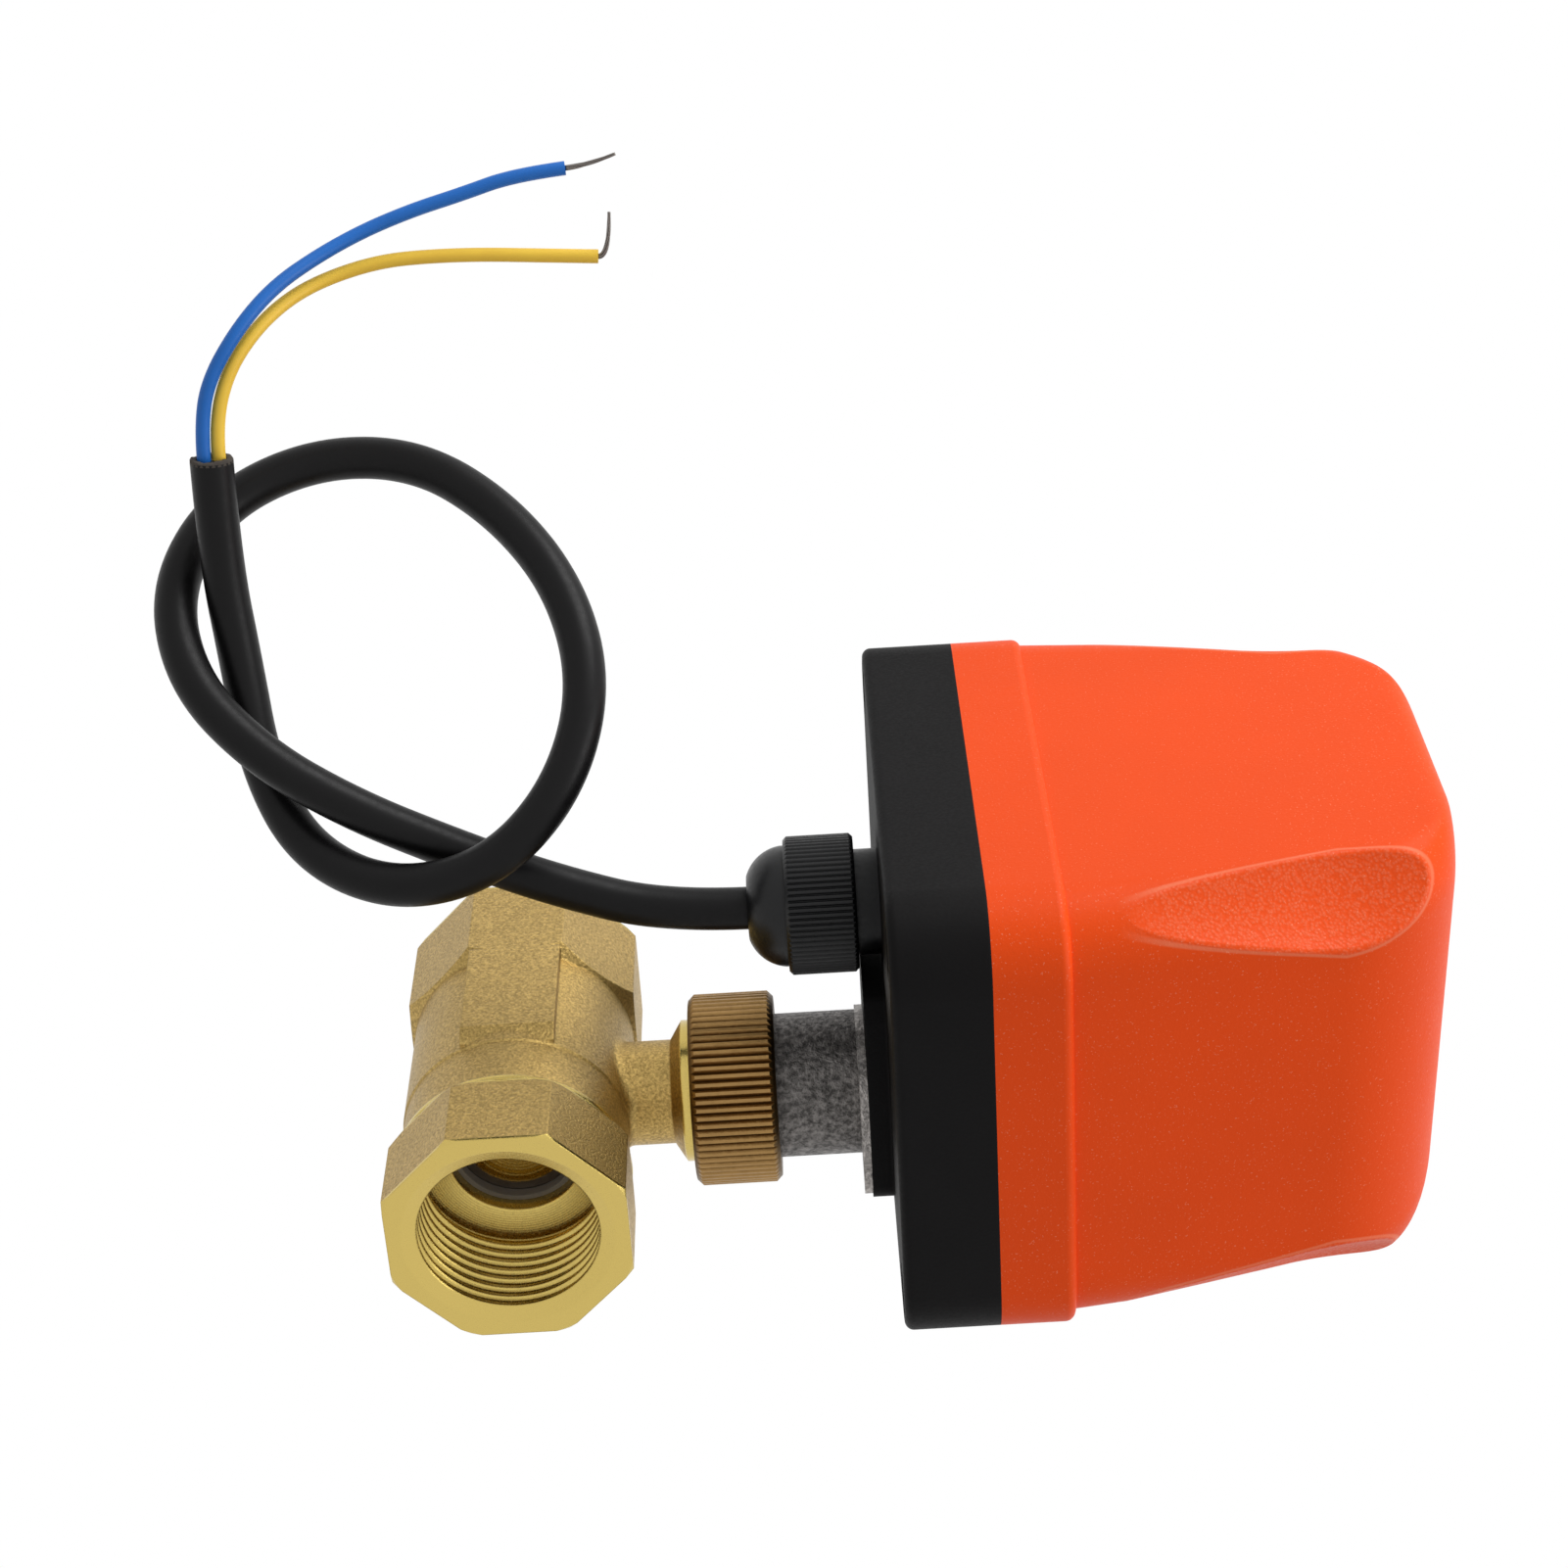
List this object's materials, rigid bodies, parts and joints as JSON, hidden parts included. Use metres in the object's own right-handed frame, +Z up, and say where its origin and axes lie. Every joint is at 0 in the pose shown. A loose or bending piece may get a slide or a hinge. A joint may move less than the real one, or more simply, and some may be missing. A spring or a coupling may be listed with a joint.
{
  "type": "motorized ball valve",
  "caption": "Brass ball valve turned by an electric actuator in a moulded box, joined by a union nut, with a cable gland and a looped connecting cable.",
  "frame": {"origin": "on the pipe axis where the inlet's thread starts, 1 mm inside the inlet's face", "axes": "+X along the pipe from inlet to outlet, +Y towards the cable gland's side, +Z up along the stem to the actuator"},
  "size_m": [0.0907, 0.1352, 0.1686],
  "materials": {
    "cast_brass": "bead-blasted casting, machined at the mouths",
    "plated_steel": "polished",
    "white_seat_plastic": "smooth",
    "black_rubber": "matte",
    "bronze_nut": "knurled, dull",
    "grey_metal": "turned",
    "steel": "zinc plated",
    "bush_bronze": "turned",
    "black_plastic": "fine grain",
    "gland_plastic": "satin",
    "orange_plastic": "fine leather grain",
    "gear_plastic": "moulded",
    "motor_can": "drawn",
    "switch_plastic": "moulded",
    "board_laminate": "solder mask",
    "capacitor_sleeve": "shrunk sleeve",
    "relay_case": "moulded",
    "terminal_plastic": "moulded",
    "black_jacket": "extruded",
    "blue_insulation": "extruded",
    "yellow_insulation": "extruded",
    "tinned_strands": "stranded, tinned"
  },
  "bodies": {
    "actuator_and_body": {"valve_body": "cast_brass", "end_connector": "cast_brass", "inlet_seat": "white_seat_plastic", "outlet_seat": "white_seat_plastic", "connector_seal": "black_rubber", "housing_gasket": "black_rubber", "gland_seal": "black_rubber", "adapter_neck": "grey_metal", "nut_retaining_clip": "grey_metal", "neck_screws": "steel", "cover_screws": "steel", "plate_posts": "steel", "gear_pins": "steel", "motor_screws": "steel", "board_posts": "steel", "board_screws": "steel", "lower_gear_plate": "steel", "upper_gear_plate": "steel", "shaft_bushes": "bush_bronze", "base_housing": "black_plastic", "gland_body": "gland_plastic", "gland_lock_nut": "gland_plastic", "cover": "orange_plastic", "motor_body": "motor_can", "closed_switch": "switch_plastic", "open_switch": "switch_plastic", "control_board": "board_laminate", "storage_capacitors": "capacitor_sleeve", "rectifier_diodes": "capacitor_sleeve", "control_relay": "relay_case", "terminal_block": "terminal_plastic", "cable_jacket": "black_jacket", "cable_tail": "black_jacket", "switch_leads": "black_jacket", "motor_leads": "black_jacket", "blue_wire": "blue_insulation", "inner_blue_lead": "blue_insulation", "yellow_wire": "yellow_insulation", "inner_yellow_lead": "yellow_insulation", "blue_strands": "tinned_strands", "yellow_strands": "tinned_strands"},
    "output_drive": {"ball": "plated_steel", "valve_stem": "plated_steel", "stem_o_rings": "black_rubber", "stem_thrust_washer": "white_seat_plastic", "drive_shaft": "steel", "output_gear": "gear_plastic", "switch_cam": "gear_plastic"},
    "slow_idler": {"slow_idler_gear": "gear_plastic"},
    "fast_idler": {"fast_idler_gear": "gear_plastic"},
    "motor_rotor": {"motor_pinion": "bush_bronze"},
    "closed_lever": {"closed_switch_lever": "steel"},
    "open_lever": {"open_switch_lever": "steel"},
    "union_nut": {"coupling_nut": "bronze_nut"},
    "gland_cap": {"gland_nut": "gland_plastic"}
  },
  "joints": [
    {"name": "ball_turn", "type": "hinge", "parent": "actuator_and_body", "child": "output_drive", "pos_m": [0.02985, 0, 0], "axis": [0, 0, 1], "range_deg": [0, 90]},
    {"name": "slow_idler_spin", "type": "hinge", "parent": "actuator_and_body", "child": "slow_idler", "pos_m": [0.01519, 0.00534, 0.065], "axis": [0, 0, 1], "range_deg": [-301, 1]},
    {"name": "fast_idler_spin", "type": "hinge", "parent": "actuator_and_body", "child": "fast_idler", "pos_m": [0.0178, 0.02011, 0.0695], "axis": [0, 0, 1], "range_deg": [-1, 1201]},
    {"name": "motor_spin", "type": "hinge", "parent": "actuator_and_body", "child": "motor_rotor", "pos_m": [0.03116, 0.01823, 0.072], "axis": [0, 0, 1], "range_deg": [-5281, 1]},
    {"name": "closed_lever_swing", "type": "hinge", "parent": "actuator_and_body", "child": "closed_lever", "pos_m": [0.0386, -0.009, 0.0612], "axis": [0, 0, 1], "range_deg": [-0.5, 8.2]},
    {"name": "open_lever_swing", "type": "hinge", "parent": "actuator_and_body", "child": "open_lever", "pos_m": [0.0211, -0.009, 0.0612], "axis": [0, 0, 1], "range_deg": [-0.5, 8.2]},
    {"name": "union_nut_turn", "type": "hinge", "parent": "actuator_and_body", "child": "union_nut", "pos_m": [0.02985, 0, 0.0242], "axis": [0, 0, 1], "range_deg": [0, 1440]},
    {"name": "gland_nut_turn", "type": "hinge", "parent": "actuator_and_body", "child": "gland_cap", "pos_m": [0.02985, 0.02934, 0.03875], "axis": [0, 0, 1], "range_deg": [-1080, 0]}
  ],
  "couplings": [
    {"joint": "slow_idler_spin", "follows": "ball_turn", "ratio": -3.3333},
    {"joint": "fast_idler_spin", "follows": "ball_turn", "ratio": 13.333},
    {"joint": "motor_spin", "follows": "ball_turn", "ratio": -58.667},
    {"joint": "closed_lever_swing", "follows": "ball_turn", "ratio": 0.085136},
    {"joint": "open_lever_swing", "follows": "ball_turn", "ratio": 0.085136}
  ]
}
